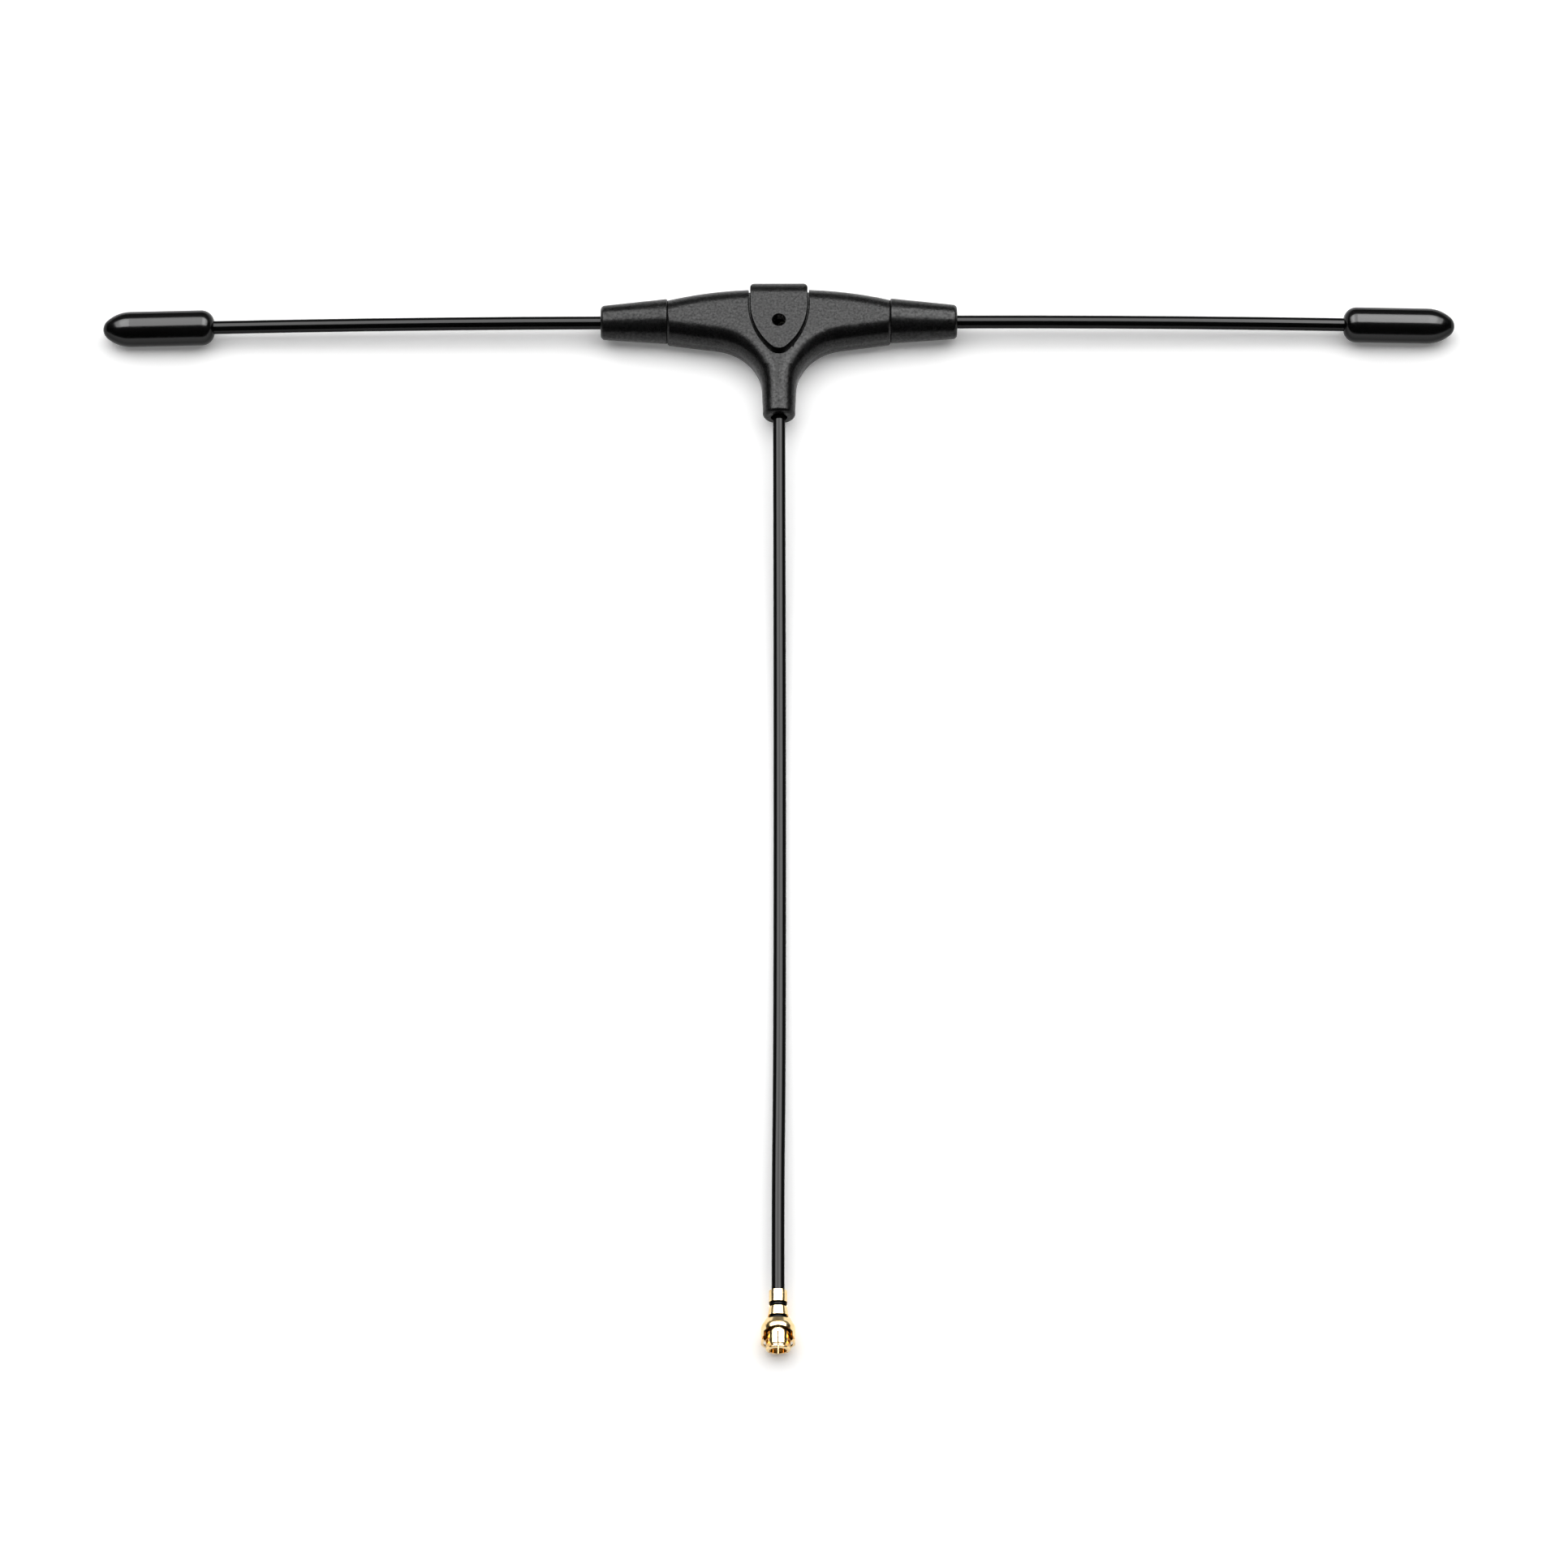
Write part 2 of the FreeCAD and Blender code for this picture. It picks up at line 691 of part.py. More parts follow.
def make_cap(name, side):
    body = new_body(name, roll=size.arm_bend_roll)
    radius = size.cap_radius
    nose = size.cap_nose_radius
    nose_reach = size.cap_dome - nose
    flank = (nose_reach * nose_reach + radius * radius - nose * nose) / ((radius - nose) * 2)
    dome_start = size.cap_length - size.cap_dome
    touch_x = dome_start + nose_reach * flank / (flank - nose)
    touch_r = nose * (flank - radius) / (flank - nose)
    bore = size.sleeve_radius + size.fit
    bore_end = size.sleeve_insert + size.fit
    bow = size.cap_end_radius
    bow_length = size.cap_end_length
    bow_drop = bow - square_root(bow * bow - bow_length * bow_length)
    corners = [
        (ZERO, bore),
        (bore_end, bore),
        (bore_end, ZERO),
        (size.cap_length, ZERO),
        (touch_x, touch_r),
        (dome_start, radius),
        (bow_length, radius),
        (ZERO, radius - bow_drop),
    ]
    arcs = {3: nose, 4: flank, 6: bow}
    profile = sketch_on(body, "XY_Plane", f"{name}_profile")
    lean = arm_angle() * -side
    profile.AttachmentOffset.Rotation = FreeCAD.Rotation(FreeCAD.Vector(0, 0, 1), lean.value)
    mouth_x, mouth_y = cap_mouth()
    profile.setExpression("AttachmentOffset.Base.x", (mouth_x * side).text)
    profile.setExpression("AttachmentOffset.Base.y", mouth_y.text)
    profile.setExpression("AttachmentOffset.Rotation.Angle", lean.text)
    turn(body, "Revolution", draw(profile, corners, rounds=arcs, side=side), "H_Axis")
    return body


def make_cable():
    """The jacketed lead: straight runs joined by arcs as large as the runs allow."""
    aside = -sheet.plug_aside
    start = FreeCAD.Vector(0, -sheet.jacket_end, sheet.housing_thickness / 2)
    finish = FreeCAD.Vector(aside, -sheet.plug_start - sheet.cable_in_plug, sheet.head_radius)
    middle_places = [FreeCAD.Vector(share * aside, y, z) for share, y, z in CABLE_POINTS]
    places = [start] + middle_places + [finish]
    edges = []
    last = start
    for before, corner, after in zip(places, places[1:], places[2:]):
        back = (before - corner).normalize()
        ahead = (after - corner).normalize()
        cut = BEND_SHARE * min((before - corner).Length, (after - corner).Length)
        half_turn = (math.pi - back.getAngle(ahead)) / 2
        bend_radius = cut / math.tan(half_turn)
        middle_way = (back + ahead).normalize()
        middle = corner + middle_way * (bend_radius / math.cos(half_turn) - bend_radius)
        bend_start = corner + back * cut
        bend_end = corner + ahead * cut
        edges.append(Part.LineSegment(last, bend_start).toShape())
        edges.append(Part.Arc(bend_start, middle, bend_end).toShape())
        print(f"cable bend at y {corner.y}: radius {bend_radius:.0f}")
        last = bend_end
    edges.append(Part.LineSegment(last, finish).toShape())
    spine = Part.Wire(edges)
    rim = Part.Circle(start, places[1] - start, sheet.cable_radius).toShape()
    cable = doc.addObject("Part::Feature", "cable")
    cable.Label = "cable"
    cable.Shape = spine.makePipeShell([Part.Wire(rim)], True, False)
    return cable


def make_dielectric():
    body = new_body("cable_dielectric")
    start = -size.jacket_end
    end = -size.dielectric_end
    inner = size.core_radius + size.fit
    outer = size.dielectric_radius
    corners = [(inner, start), (outer, start), (outer, end), (inner, end)]
    turn(body, "Revolution", draw(sketch_on(body, "XY_Plane", "dielectric"), corners), "V_Axis")
    return body


def make_braid():
    """The screen of the lead, with its strands twisted into a tail towards the left arm."""
    body = new_body("cable_braid")
    start = -size.jacket_end
    end = -size.braid_end
    inner = size.dielectric_radius + size.fit
    outer = size.braid_radius
    corners = [(inner, start), (outer, start), (outer, end), (inner, end)]
    turn(body, "Revolution", draw(sketch_on(body, "XY_Plane", "braid"), corners), "V_Axis")
    offset = size.tail_offset
    bend = size.turn_radius
    tail = draw(
        sketch_on(body, "XY_Plane", "braid_tail"),
        [
            (-offset, -size.tail_start),
            (-offset, -bend),
            (-(offset + bend), ZERO),
            (-size.wire_start, ZERO),
        ],
        rounds={1: bend},
        closed=False,
    )
    disc = sketch_on(body, "XZ_Plane", "braid_tail_disc", size.tail_start)
    sweep(body, draw_circle(disc, size.tail_radius, -offset, ZERO), tail)
    return body


def make_core():
    """The inner conductor of the lead, bent towards the right arm."""
    body = new_body("cable_core")
    bend = size.turn_radius
    path = draw(
        sketch_on(body, "XY_Plane", "core_path"),
        [(ZERO, -size.jacket_end), (ZERO, -bend), (bend, ZERO), (size.wire_start, ZERO)],
        hollows={1: bend},
        closed=False,
    )
    disc = sketch_on(body, "XZ_Plane", "core_disc", size.jacket_end)
    sweep(body, draw_circle(disc, size.core_radius), path)
    return body


def make_solder(name, side, lead_radius):
    """A barrel-shaped bead round the butt of an arm's wire and a conductor of the lead."""
    body = new_body(name)
    start = size.solder_start
    end = start + size.solder_length
    rise = size.solder_radius - size.solder_end_radius
    half = size.solder_length / 2
    belly = (half * half + rise * rise) / (rise * 2)
    lead_bore = lead_radius + size.fit
    wire_bore = size.wire_radius + size.fit
    corners = [
        (start, lead_bore),
        (size.wire_start, lead_bore),
        (size.wire_start, wire_bore),
        (end, wire_bore),
        (end, size.solder_end_radius),
        (start, size.solder_end_radius),
    ]
    profile = draw(sketch_on(body, "XY_Plane", f"{name}_profile"), corners, rounds={4: belly}, side=side)
    turn(body, "Revolution", profile, "H_Axis")
    return body


# The plug lies along -Y with its own origin at the rear end of the jacket crimp
PLUG_BASE = (-size.plug_aside, -size.plug_start, size.head_radius)
BRAID_CRIMP_START = size.jacket_crimp_length + size.jacket_window
BRAID_CRIMP_END = BRAID_CRIMP_START + size.braid_crimp_length
HEAD_START = BRAID_CRIMP_END + size.flare_length
HEAD_END = HEAD_START + size.head_length
HEAD_BORE = size.head_radius - size.shell_wall
MOUTH_FLOOR = size.barrel_front - size.mouth_depth
INSULATOR_FRONT = MOUTH_FLOOR - size.insulator_recess


def window(body, name, start, end, half, floor=None, arch=None):
    """Cuts the shell open from above between two places along the plug, down to its axis or to floor."""
    drop = ZERO if arch is None else arch - square_root(arch * arch - half * half)
    side_start = -(start + drop)
    corners = [(-half, -end), (half, -end), (half, side_start), (-half, side_start)]
    rounds = {} if arch is None else {2: arch}
    cut = draw(sketch_on(body, "XY_Plane", name, floor), corners, rounds)
    extrude(body, "Pocket", cut, size.head_radius * 2, backwards=True)


def make_plug_shell():
    body = new_body("plug_shell", PLUG_BASE)
    wall = size.shell_wall
    crimp = size.cable_radius + size.fit + wall
    flare = crimp + size.crimp_flare
    head = size.head_radius
    profile = draw(
        sketch_on(body, "XY_Plane", "shell"),
        [
            (crimp - wall, ZERO),
            (crimp - wall, -BRAID_CRIMP_START),
            (flare - wall, -BRAID_CRIMP_END),
            (HEAD_BORE, -HEAD_START),
            (HEAD_BORE, -HEAD_END),
            (head, -HEAD_END),
            (head, -HEAD_START),
            (flare, -BRAID_CRIMP_END),
            (crimp, -BRAID_CRIMP_START),
            (crimp, ZERO),
        ],
    )
    turn(body, "Revolution", profile, "V_Axis")

    def on_shoulder(edge):
        return is_ring(edge, head) and near(edge.CenterOfMass.y, -HEAD_START.value)

    soften(body, "Fillet", size.shoulder_round, on_shoulder)
    jacket_crimp = size.jacket_crimp_length
    window(body, "jacket_window", jacket_crimp, BRAID_CRIMP_START, head, -size.spine_drop)
    braid_window_end = BRAID_CRIMP_END + size.braid_window
    window(body, "braid_window", BRAID_CRIMP_END, braid_window_end, size.braid_window_half)
    mouth_start = HEAD_START + size.mouth_start
    window(body, "shell_mouth", mouth_start, HEAD_END, size.mouth_half, arch=size.mouth_arch)
    notch_y = size.notch_inset - HEAD_END
    for label, place in (("left", -size.notch_offset), ("right", size.notch_offset)):
        notch = draw_circle(sketch_on(body, "XY_Plane", f"{label}_notch"), size.notch_radius, place, notch_y)
        extrude(body, "Pocket", notch, head * 2, both_ways=True)
    return body


def make_plug_barrel():
    body = new_body("plug_barrel", PLUG_BASE)
    flange_end = HEAD_START + size.flange_length
    bead_start = size.barrel_front - size.bead_length
    drum_end = bead_start - size.neck_length
    drum = size.drum_radius
    bead = size.bead_radius
    bead_round = size.bead_round
    profile = draw(
        sketch_on(body, "XY_Plane", "barrel"),
        [
            (size.barrel_bore, -HEAD_START),
            (size.barrel_bore, -MOUTH_FLOOR),
            (size.mouth_radius, -MOUTH_FLOOR),
            (size.mouth_radius, -size.barrel_front),
            (bead - bead_round, -size.barrel_front),
            (bead, bead_round - size.barrel_front),
            (bead, -(bead_start + bead_round)),
            (size.barrel_radius, -bead_start),
            (size.barrel_radius, -drum_end),
            (drum, -drum_end),
            (drum, -flange_end),
            (HEAD_BORE - size.fit, -flange_end),
            (HEAD_BORE - size.fit, -HEAD_START),
        ],
        rounds={4: bead_round},
    )
    turn(body, "Revolution", profile, "V_Axis")

    # Slits that let the barrel's fingers spring
    half = size.slit_width / 2
    slit_start = size.barrel_front - size.slit_length
    slit = draw(
        sketch_on(body, "XY_Plane", "slit"),
        [(-half, -size.barrel_front), (half, -size.barrel_front), (half, -slit_start), (-half, -slit_start)],
    )
    cut = extrude(body, "Pocket", slit, size.bead_radius * 2, backwards=True)
    ring = body.newObject("PartDesign::PolarPattern", "slits")
    ring.Originals = [cut]
    ring.Axis = (next(f for f in body.Origin.OriginFeatures if f.Role == "Y_Axis"), [""])
    ring.Angle = 360
    ring.setExpression("Occurrences", size.slit_count.text)
    body.Tip = ring
    return body


def make_plug_insulator():
    body = new_body("plug_insulator", PLUG_BASE)
    inner = size.contact_radius + size.fit
    outer = size.barrel_bore - size.fit
    start = size.cable_in_plug + size.fit
    foot = size.insulator_foot_radius
    profile = draw(
        sketch_on(body, "XY_Plane", "insulator"),
        [
            (inner, -start),
            (inner, -INSULATOR_FRONT),
            (outer, -INSULATOR_FRONT),
            (outer, -HEAD_START),
            (foot, -HEAD_START),
            (foot, -start),
        ],
    )
    turn(body, "Revolution", profile, "V_Axis")
    return body


def make_plug_contact():
    body = new_body("plug_contact", PLUG_BASE)
    outer = size.contact_radius
    front = INSULATOR_FRONT
    bore_end = front - size.contact_bore_depth
    profile = draw(
        sketch_on(body, "XY_Plane", "contact"),
        [
            (ZERO, -size.cable_in_plug),
            (ZERO, -bore_end),
            (size.contact_bore, -bore_end),
            (size.contact_bore, -front),
            (outer, -front),
            (outer, -size.cable_in_plug),
        ],
    )
    turn(body, "Revolution", profile, "V_Axis")
    return body


pieces = [make_housing(), make_cover()]
for label, direction in (("left", -1), ("right", 1)):
    pieces.append(make_collar(f"{label}_collar", direction))
    pieces.append(make_sleeve(f"{label}_sleeve", direction))
    pieces.append(make_wire(f"{label}_wire", direction))
    pieces.append(make_cap(f"{label}_cap", direction))
pieces += [make_cable(), make_dielectric(), make_braid(), make_core()]
pieces.append(make_solder("left_solder", -1, size.tail_radius))
pieces.append(make_solder("right_solder", 1, size.core_radius))
pieces += [make_plug_shell(), make_plug_barrel(), make_plug_insulator(), make_plug_contact()]
doc.recompute()

for part in doc.Objects:
    if "Invalid" in part.State or "Error" in part.State:
        raise RuntimeError(f"{part.Name} did not build: {part.State}")
for piece in pieces:
    if piece.Shape.isNull() or not piece.Shape.isValid():
        raise RuntimeError(f"{piece.Label} has no valid shape")

os.makedirs("parts", exist_ok=True)
for piece in pieces:
    piece.Shape.exportStep(f"parts/{piece.Label}.step")
    box = piece.Shape.optimalBoundingBox()
    print(
        f"{piece.Label}: {len(piece.Shape.Solids)} solid, {piece.Shape.Volume:.3f} mm3, "
        f"x {box.XMin:.2f} {box.XMax:.2f}, y {box.YMin:.2f} {box.YMax:.2f}, z {box.ZMin:.2f} {box.ZMax:.2f}"
    )
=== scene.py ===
import math

import bpy
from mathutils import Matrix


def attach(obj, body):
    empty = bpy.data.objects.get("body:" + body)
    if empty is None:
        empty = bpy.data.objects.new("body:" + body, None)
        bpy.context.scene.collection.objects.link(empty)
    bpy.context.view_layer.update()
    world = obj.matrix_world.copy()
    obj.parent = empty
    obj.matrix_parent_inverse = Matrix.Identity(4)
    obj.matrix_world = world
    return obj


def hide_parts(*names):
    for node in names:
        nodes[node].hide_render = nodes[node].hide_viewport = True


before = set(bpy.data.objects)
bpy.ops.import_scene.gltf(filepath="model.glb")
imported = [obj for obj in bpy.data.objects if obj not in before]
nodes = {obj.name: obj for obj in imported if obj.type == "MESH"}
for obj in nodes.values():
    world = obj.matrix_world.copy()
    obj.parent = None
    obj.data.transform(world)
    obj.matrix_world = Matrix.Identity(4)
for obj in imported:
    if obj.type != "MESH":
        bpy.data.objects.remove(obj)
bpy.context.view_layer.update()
scene = bpy.context.scene
MM = 0.001
WHITE = (1.0, 1.0, 1.0, 1.0)


# Materials

# Where most of a noise's values lie
NOISE_LOW = 0.3
NOISE_HIGH = 0.7


class Tree:
    """A material's node tree, with short calls for the nodes that the finishes share."""

    def __init__(self, name):
        self.material = bpy.data.materials.new(name)
        self.material.use_nodes = True
        self.nodes = self.material.node_tree.nodes
        self.links = self.material.node_tree.links
        self.shader = self.nodes["Principled BSDF"]
        self.place = self.nodes.new("ShaderNodeTexCoord").outputs["Object"]

    def add(self, kind, **settings):
        node = self.nodes.new(kind)
        for key, value in settings.items():
            setattr(node, key, value)
        return node

    def set(self, socket, value):
        self.shader.inputs[socket].default_value = value

    def into(self, socket, source):
        self.links.new(source, self.shader.inputs[socket])

    def noise(self, size_mm, detail=2.0, roughness=0.5, stretch=None):
        """Noise whose blotches are about size_mm across, drawn out along the axes by stretch."""
        node = self.add("ShaderNodeTexNoise")
        node.inputs["Scale"].default_value = 1.0 / (size_mm * MM)
        node.inputs["Detail"].default_value = detail
        node.inputs["Roughness"].default_value = roughness
        source = self.place
        if stretch is not None:
            mapping = self.add("ShaderNodeMapping")
            mapping.inputs["Scale"].default_value = stretch
            self.links.new(source, mapping.inputs["Vector"])
            source = mapping.outputs["Vector"]
        self.links.new(source, node.inputs["Vector"])
        return node.outputs["Fac"]

    def cells(self, size_mm):
        """Distance to the nearest of scattered points about size_mm apart."""
        node = self.add("ShaderNodeTexVoronoi")
        node.inputs["Scale"].default_value = 1.0 / (size_mm * MM)
        self.links.new(self.place, node.inputs["Vector"])
        return node.outputs["Distance"]

    def between(self, source, low, high, start=NOISE_LOW, end=NOISE_HIGH):
        """Maps a grey value from start..end to low..high."""
        node = self.add("ShaderNodeMapRange")
        self.links.new(source, node.inputs["Value"])
        node.inputs["From Min"].default_value = start
        node.inputs["From Max"].default_value = end
        node.inputs["To Min"].default_value = low
        node.inputs["To Max"].default_value = high
        return node.outputs["Result"]

    def colours(self, source, low, high):
        """Maps a noise to the colours from low to high."""
        node = self.add("ShaderNodeValToRGB")
        first, last = node.color_ramp.elements
        first.position, first.color = NOISE_LOW, (*low, 1.0)
        last.position, last.color = NOISE_HIGH, (*high, 1.0)
        self.links.new(source, node.inputs["Fac"])
        return node.outputs["Color"]

    def bump(self, source, depth_mm, strength, below=None):
        node = self.add("ShaderNodeBump")
        node.inputs["Strength"].default_value = strength
        node.inputs["Distance"].default_value = depth_mm * MM
        self.links.new(source, node.inputs["Height"])
        if below is not None:
            self.links.new(below, node.inputs["Normal"])
        return node.outputs["Normal"]

    def vary_roughness(self, source, roughness, spread):
        low, high = (roughness * share for share in spread)
        self.into("Roughness", self.between(source, low, high))


MOULD_DARK = (0.0016, 0.0016, 0.0017)
MOULD_LIGHT = (0.0045, 0.0045, 0.0046)
MOULD_IOR = 1.285
MOULD_SPREAD = (0.9, 1.1)
BLOTCH_MM = 1.3
GRAIN_SPAN = (0.36, 0.64)
GRAIN_GLOSS = (0.3, 0.7)
GRAIN_DEPTH_MM = 0.02
GRAIN_STRENGTH = 0.3
PIT_SPACING_MM = 1.1
PIT_RIM = (0.04, 0.16)
PIT_DEPTH_MM = 0.012
PIT_STRENGTH = 0.5


def textured_plastic(name, grain_mm, roughness):
    """Black moulded plastic with a fine spark-eroded grain and a few shallow pits."""
    tree = Tree(name)
    grain = tree.noise(grain_mm, detail=4.0, roughness=0.65)
    pits = tree.between(tree.cells(PIT_SPACING_MM), 0.0, 1.0, *PIT_RIM)
    tree.into("Base Color", tree.colours(grain, MOULD_DARK, MOULD_LIGHT))
    tree.vary_roughness(tree.noise(BLOTCH_MM), roughness, MOULD_SPREAD)
    tree.into("Specular IOR Level", tree.between(grain, *GRAIN_GLOSS, *GRAIN_SPAN))
    pitted = tree.bump(pits, PIT_DEPTH_MM, PIT_STRENGTH)
    tree.into("Normal", tree.bump(grain, GRAIN_DEPTH_MM, GRAIN_STRENGTH, pitted))
    tree.set("IOR", MOULD_IOR)
    return tree.material


FLOW_MM = 0.9
FLOW_STRETCH = (0.25, 1.0, 1.0)
FLOW_DARK = 0.5
FLOW_DEPTH_MM = 0.004
FLOW_STRENGTH = 0.25
SCUFF_MM = 0.12
SCUFF_SPREAD = (0.85, 1.2)
FULL_GLOSS = 0.5
GLOSS_FADE = (0.14, 0.4)


def smooth_plastic(name, colour, roughness, ior, edge_gloss):
    """Glossy black plastic with faint flow marks and fine scuffs, less glossy at a slant."""
    tree = Tree(name)
    flow = tree.noise(FLOW_MM, detail=3.0, stretch=FLOW_STRETCH)
    dark = tuple(part * FLOW_DARK for part in colour)
    tree.into("Base Color", tree.colours(flow, dark, colour))
    tree.vary_roughness(tree.noise(SCUFF_MM), roughness, SCUFF_SPREAD)
    tree.into("Normal", tree.bump(flow, FLOW_DEPTH_MM, FLOW_STRENGTH))
    facing = tree.add("ShaderNodeLayerWeight").outputs["Facing"]
    gloss = tree.between(facing, FULL_GLOSS, edge_gloss, *GLOSS_FADE)
    tree.into("Specular IOR Level", gloss)
    tree.set("IOR", ior)
    return tree.material


GOLD_DEEP = (0.86, 0.6, 0.26)
GOLD_PALE = (0.94, 0.72, 0.39)
GOLD_ROUGHNESS = (0.1, 0.2)
GOLD_PATCH_MM = 0.5
DRAWN_MM = 0.1
DRAWN_STRETCH = (1.0, 0.12, 1.0)
DRAWN_DEPTH_MM = 0.003
DRAWN_STRENGTH = 0.3


def gold(name):
    """Thin bright gold plating over stamped sheet, with drawing marks."""
    tree = Tree(name)
    tree.set("Metallic", 1.0)
    marks = tree.noise(DRAWN_MM, detail=3.0, stretch=DRAWN_STRETCH)
    tree.into("Base Color", tree.colours(tree.noise(GOLD_PATCH_MM), GOLD_DEEP, GOLD_PALE))
    tree.into("Roughness", tree.between(marks, *GOLD_ROUGHNESS))
    tree.into("Normal", tree.bump(marks, DRAWN_DEPTH_MM, DRAWN_STRENGTH))
    return tree.material


METAL_MARK_MM = 0.15
METAL_STRETCH = (0.2, 1.0, 1.0)
METAL_SPREAD = (0.8, 1.2)


def metal(name, low, high, roughness):
    """Bare metal with marks drawn out along the arms."""
    tree = Tree(name)
    tree.set("Metallic", 1.0)
    marks = tree.noise(METAL_MARK_MM, detail=3.0, stretch=METAL_STRETCH)
    tree.into("Base Color", tree.colours(marks, low, high))
    tree.vary_roughness(marks, roughness, METAL_SPREAD)
    return tree.material


MILKY_DARK = (0.78, 0.77, 0.73)
MILKY_LIGHT = (0.86, 0.85, 0.82)
MILKY_ROUGHNESS = (0.35, 0.5)
CLOUD_MM = 0.4


def milky_plastic(name):
    """White insulation with a faint cloudiness."""
    tree = Tree(name)
    cloud = tree.noise(CLOUD_MM)
    tree.into("Base Color", tree.colours(cloud, MILKY_DARK, MILKY_LIGHT))
    tree.into("Roughness", tree.between(cloud, *MILKY_ROUGHNESS))
    return tree.material


GLOSS_BLACK = (0.002, 0.002, 0.0021)
JACKET_BLACK = (0.0025, 0.0025, 0.0026)
STEEL = ((0.42, 0.42, 0.43), (0.58, 0.58, 0.59))
TIN = ((0.5, 0.48, 0.45), (0.68, 0.66, 0.62))
SOLDER = ((0.55, 0.55, 0.56), (0.72, 0.72, 0.73))
housing_finish = textured_plastic("housing_plastic", grain_mm=0.22, roughness=0.27)
cover_finish = textured_plastic("cover_plastic", grain_mm=0.21, roughness=0.27)
collar_finish = textured_plastic("collar_plastic", grain_mm=0.26, roughness=0.28)
cap_finish = smooth_plastic(
    "cap_plastic", GLOSS_BLACK, roughness=0.17, ior=1.43, edge_gloss=0.12
)
sleeve_finish = smooth_plastic(
    "sleeve_plastic", GLOSS_BLACK, roughness=0.14, ior=1.33, edge_gloss=0.08
)
jacket_finish = smooth_plastic(
    "jacket_plastic", JACKET_BLACK, roughness=0.1, ior=1.28, edge_gloss=0.03
)
pressed_finish = smooth_plastic(
    "pressed_jacket", JACKET_BLACK, roughness=0.3, ior=1.2, edge_gloss=0.03
)
gold_finish = gold("gold_plating")
steel_finish = metal("wire_steel", *STEEL, roughness=0.3)
tin_finish = metal("tinned_copper", *TIN, roughness=0.35)
solder_finish = metal("bright_solder", *SOLDER, roughness=0.22)
milky_finish = milky_plastic("milky_insulation")

FINISHES = {
    "housing": housing_finish,
    "cover": cover_finish,
    "left_collar": collar_finish,
    "right_collar": collar_finish,
    "left_sleeve": sleeve_finish,
    "right_sleeve": sleeve_finish,
    "left_cap": cap_finish,
    "right_cap": cap_finish,
    "left_wire": steel_finish,
    "right_wire": steel_finish,
    "cable": jacket_finish,
    "cable_dielectric": milky_finish,
    "cable_braid": tin_finish,
    "cable_core": tin_finish,
    "left_solder": solder_finish,
    "right_solder": solder_finish,
    "plug_shell": gold_finish,
    "plug_barrel": gold_finish,
    "plug_insulator": milky_finish,
    "plug_contact": gold_finish,
}
for name, finish in FINISHES.items():
    slots = nodes[name].data.materials
    slots.clear()
    slots.append(finish)


# The lead: the same route as the CAD tube

CABLE_ROUTE_MM = (
    (0.0, -2.6, 2.1),
    (0.0, -15.0, 2.1),
    (0.0, -28.0, 1.3),
    (-0.0135, -44.0, 0.6),
    (-0.054, -61.0, 0.6),
    (-0.1215, -75.0, 1.0),
    (-0.27, -86.0, 1.5),
    (-0.27, -96.75, 1.5),
)
CABLE_RADIUS = 0.565 * MM


def make_lead():
    curve = bpy.data.curves.new("lead", "CURVE")
    curve.dimensions = "3D"
    curve.bevel_depth = CABLE_RADIUS
    curve.bevel_resolution = 10
    curve.resolution_u = 24
    curve.use_fill_caps = True
    spline = curve.splines.new("NURBS")
    spline.points.add(len(CABLE_ROUTE_MM) - 1)
    for point, place in zip(spline.points, CABLE_ROUTE_MM):
        point.co = (*(value * MM for value in place), 1.0)
    spline.order_u = 3
    spline.use_endpoint_u = True
    lead = bpy.data.objects.new("lead", curve)
    scene.collection.objects.link(lead)
    curve.materials.append(jacket_finish)
    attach(lead, "root")
    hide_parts("cable")
    return lead


lead = make_lead()

# Jacket pressed out through the two windows of the plug's shell

PLUG_X_MM = -0.27
PLUG_Z_MM = 1.5
BULGE_STEPS = 40
BULGE_CORNERS = 20
# What the middle has of the two ends' length and thickness
BULGE_NECK = 0.8
BULGE_WAIST = 0.86
# What is left of the section at its very tips, and how late it starts to close there
BULGE_TIP = 0.35
BULGE_BLUNTNESS = 8


def from_share(low, share):
    """A factor that goes from low at share 0 to 1 at share 1."""
    return low + (1 - low) * share


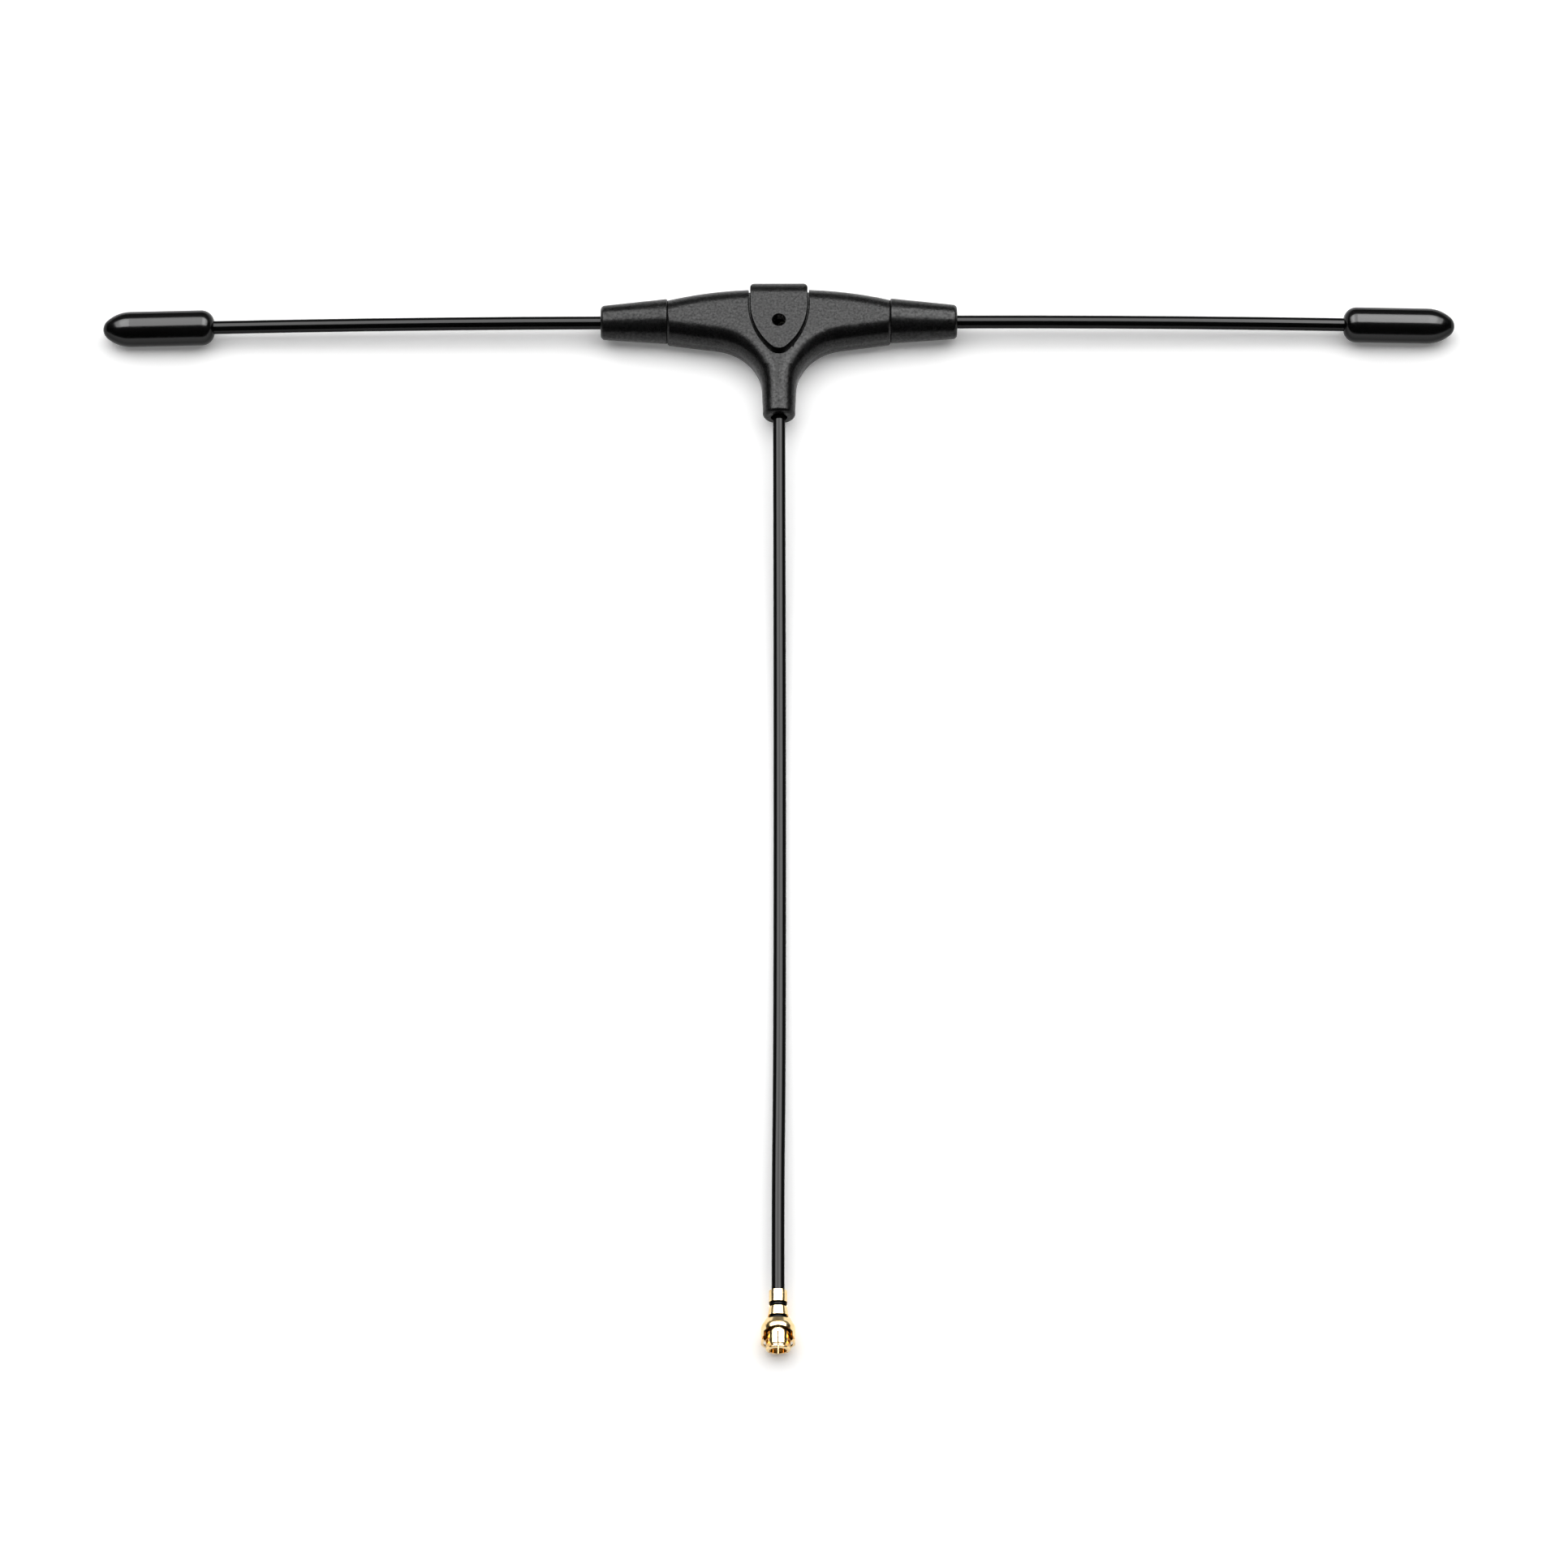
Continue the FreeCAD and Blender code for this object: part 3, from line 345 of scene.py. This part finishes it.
def make_bulge(name, y_mm, half_length, ring, rise, first, last):
    """A sausage of jacket, in millimetres, that lies over the lead from side to side.

    It follows a ring about the plug's axis from the angle first to last, in degrees.
    """
    points = []
    for step in range(BULGE_STEPS + 1):
        share = step / BULGE_STEPS
        turn = math.radians(first + (last - first) * share)
        side = abs(2 * share - 1)
        closing = math.sqrt(max(1 - side ** BULGE_BLUNTNESS, 0.0))
        tip = from_share(BULGE_TIP, closing)
        length = half_length * from_share(BULGE_NECK, side) * tip
        height = rise * from_share(BULGE_WAIST, side) * tip
        for corner in range(BULGE_CORNERS):
            angle = 2 * math.pi * corner / BULGE_CORNERS
            reach = ring + height * math.cos(angle)
            points.append((
                (PLUG_X_MM + reach * math.cos(turn)) * MM,
                (y_mm + length * math.sin(angle)) * MM,
                (PLUG_Z_MM + reach * math.sin(turn)) * MM,
            ))
    faces = []
    for step in range(BULGE_STEPS):
        low = step * BULGE_CORNERS
        high = low + BULGE_CORNERS
        for corner in range(BULGE_CORNERS):
            after = (corner + 1) % BULGE_CORNERS
            faces.append((low + corner, low + after, high + after, high + corner))
    faces.append(tuple(reversed(range(BULGE_CORNERS))))
    faces.append(tuple(range(len(points) - BULGE_CORNERS, len(points))))
    mesh = bpy.data.meshes.new(name)
    mesh.from_pydata(points, [], faces)
    mesh.shade_smooth()
    mesh.materials.append(pressed_finish)
    bulge = bpy.data.objects.new(name, mesh)
    scene.collection.objects.link(bulge)
    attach(bulge, "root")
    return bulge


jacket_bulge = make_bulge(
    "jacket_bulge",
    y_mm=-95.565, half_length=0.215, ring=0.6, rise=0.155, first=-18.0, last=198.0,
)
screen_bulge = make_bulge(
    "screen_bulge",
    y_mm=-96.77, half_length=0.19, ring=0.66, rise=0.165, first=6.0, last=174.0,
)


# Studio: floor, light, surroundings and camera


def seen_directly(tree_nodes, links):
    """1 for what the camera sees, straight or in gloss or glass, and 0 for light that falls."""
    path = tree_nodes.new("ShaderNodeLightPath")
    first = tree_nodes.new("ShaderNodeMath")
    first.operation = "MAXIMUM"
    links.new(path.outputs["Is Camera Ray"], first.inputs[0])
    links.new(path.outputs["Is Glossy Ray"], first.inputs[1])
    second = tree_nodes.new("ShaderNodeMath")
    second.operation = "MAXIMUM"
    links.new(first.outputs[0], second.inputs[0])
    links.new(path.outputs["Is Transmission Ray"], second.inputs[1])
    return second.outputs[0]


def cloth(name, colour):
    """A dull material for the studio, to which a glow is added."""
    tree = Tree(name)
    tree.set("Base Color", colour)
    tree.set("Roughness", 1.0)
    tree.set("Specular IOR Level", 0.0)
    tree.set("Emission Color", WHITE)
    return tree


FLOOR_SIDE = 12.0
FLOOR_COLOUR = (0.97, 0.97, 0.97, 1.0)
# The floor's own glow: small round the object, so that the shadow stays, and white farther out
FLOOR_LIFT = 0.17
WHITE_FROM = 0.16
WHITE_BY = 0.4


def make_floor():
    half = FLOOR_SIDE / 2
    corners = [(-half, -half, 0), (half, -half, 0), (half, half, 0), (-half, half, 0)]
    mesh = bpy.data.meshes.new("floor")
    mesh.from_pydata(corners, [], [(0, 1, 2, 3)])
    floor = bpy.data.objects.new("floor", mesh)
    scene.collection.objects.link(floor)
    tree = cloth("floor_white", FLOOR_COLOUR)
    reach = tree.add("ShaderNodeVectorMath", operation="LENGTH")
    tree.links.new(tree.place, reach.inputs[0])
    glow = tree.between(reach.outputs["Value"], FLOOR_LIFT, 1.0, WHITE_FROM, WHITE_BY)
    strength = tree.add("ShaderNodeMath", operation="MULTIPLY")
    tree.links.new(glow, strength.inputs[0])
    tree.links.new(seen_directly(tree.nodes, tree.links), strength.inputs[1])
    tree.into("Emission Strength", strength.outputs[0])
    mesh.materials.append(tree.material)


make_floor()


def softbox(name, distance, tilts, sides, radiance, sheen):
    """An area light over a window of directions, in degrees from straight up to +Y and +X.

    A light for sheen shows in gloss and adds nothing to the level of light; the others
    only light. Each has its own distance, because lights in one plane hide each other.
    """
    light = bpy.data.lights.new(name, "AREA")
    light.shape = "RECTANGLE"
    tilt = math.radians(sum(tilts) / 2)
    half_tilt = math.radians((tilts[1] - tilts[0]) / 2)
    left, right = (math.tan(math.radians(side)) * distance for side in sides)
    light.size = right - left
    light.size_y = 2 * math.tan(half_tilt) * distance
    light.energy = radiance * math.pi * light.size * light.size_y
    lamp = bpy.data.objects.new(name, light)
    scene.collection.objects.link(lamp)
    lamp.location = (
        (left + right) / 2,
        math.sin(tilt) * distance,
        math.cos(tilt) * distance,
    )
    lamp.rotation_euler = (-tilt, 0.0, 0.0)
    lamp.visible_camera = False
    lamp.visible_diffuse = not sheen
    lamp.visible_glossy = sheen


LEVEL_TILTS = (-13.0, 49.0)
SHEEN_TILTS = (-7.0, 49.0)
WIDE = (-52.0, 52.0)
RIGHT = (9.0, 36.0)
LEFT = (-38.0, -16.0)
softbox("overhead", distance=0.8, tilts=LEVEL_TILTS, sides=WIDE, radiance=2.4, sheen=False)
softbox("sheen", distance=0.82, tilts=SHEEN_TILTS, sides=WIDE, radiance=6.0, sheen=True)
softbox("right_sheen", distance=0.84, tilts=SHEEN_TILTS, sides=RIGHT, radiance=4.0, sheen=True)
softbox("left_sheen", distance=0.86, tilts=SHEEN_TILTS, sides=LEFT, radiance=3.5, sheen=True)

FLAG_RINGS = 12
FLAG_STEPS = 32
FLAG_RADIUS = 2.0
FLAG_SINK = 0.01
FLAG_COLOUR = (0.02, 0.02, 0.02, 1.0)
# The flags' glow, and the span of Y over which it rises
FLAG_GLOW = (0.01, 0.2)
FLAG_GLOW_SPAN = (0.4, 1.2)


def make_flags():
    """A dome of dark flags that only gloss shows, so that black plastic keeps black sides."""
    points = []
    for ring in range(FLAG_RINGS):
        height = math.radians(90 * ring / FLAG_RINGS)
        for step in range(FLAG_STEPS):
            turn = 2 * math.pi * step / FLAG_STEPS
            points.append((
                FLAG_RADIUS * math.cos(height) * math.cos(turn),
                FLAG_RADIUS * math.cos(height) * math.sin(turn),
                FLAG_RADIUS * math.sin(height) - FLAG_SINK,
            ))
    crown = len(points)
    points.append((0.0, 0.0, FLAG_RADIUS))
    faces = []
    for ring in range(FLAG_RINGS):
        low = ring * FLAG_STEPS
        high = low + FLAG_STEPS
        for step in range(FLAG_STEPS):
            after = (step + 1) % FLAG_STEPS
            if high < crown:
                faces.append((low + step, low + after, high + after, high + step))
            else:
                faces.append((low + step, low + after, crown))
    mesh = bpy.data.meshes.new("flags")
    mesh.from_pydata(points, [], faces)
    flags = bpy.data.objects.new("flags", mesh)
    scene.collection.objects.link(flags)
    flags.visible_camera = False
    flags.visible_shadow = False
    flags.visible_diffuse = False
    tree = cloth("flag_cloth", FLAG_COLOUR)
    apart = tree.add("ShaderNodeSeparateXYZ")
    tree.links.new(tree.place, apart.inputs[0])
    glow = tree.between(apart.outputs["Y"], *FLAG_GLOW, *FLAG_GLOW_SPAN)
    tree.into("Emission Strength", glow)
    mesh.materials.append(tree.material)


make_flags()

WORLD_FILL = 0.05


def make_world():
    """White where it is seen, and a faint fill as light."""
    world = bpy.data.worlds.new("studio")
    scene.world = world
    world.use_nodes = True
    world_nodes = world.node_tree.nodes
    links = world.node_tree.links
    background = world_nodes["Background"]
    background.inputs["Color"].default_value = WHITE
    level = world_nodes.new("ShaderNodeMapRange")
    level.inputs["To Min"].default_value = WORLD_FILL
    level.inputs["To Max"].default_value = 1.0
    links.new(seen_directly(world_nodes, links), level.inputs["Value"])
    links.new(level.outputs["Result"], background.inputs["Strength"])


make_world()

CAMERA_TILT = math.radians(23.5)
CAMERA_ROLL = math.radians(-0.15)
CAMERA_PLACE = (0.361 * MM, -280.03 * MM, 539.1 * MM)
CAMERA_LENS = 150.0
CAMERA_SENSOR = 36.0
CAMERA_NEAR = 0.01
CAMERA_FAR = 50.0


def make_camera():
    data = bpy.data.cameras.new("camera")
    data.lens = CAMERA_LENS
    data.sensor_width = CAMERA_SENSOR
    data.clip_start = CAMERA_NEAR
    data.clip_end = CAMERA_FAR
    camera = bpy.data.objects.new("camera", data)
    scene.collection.objects.link(camera)
    camera.location = CAMERA_PLACE
    camera.rotation_mode = "ZYX"
    camera.rotation_euler = (CAMERA_TILT, 0.0, CAMERA_ROLL)
    scene.camera = camera


make_camera()

scene.view_settings.view_transform = "Standard"

bpy.context.view_layer.update()
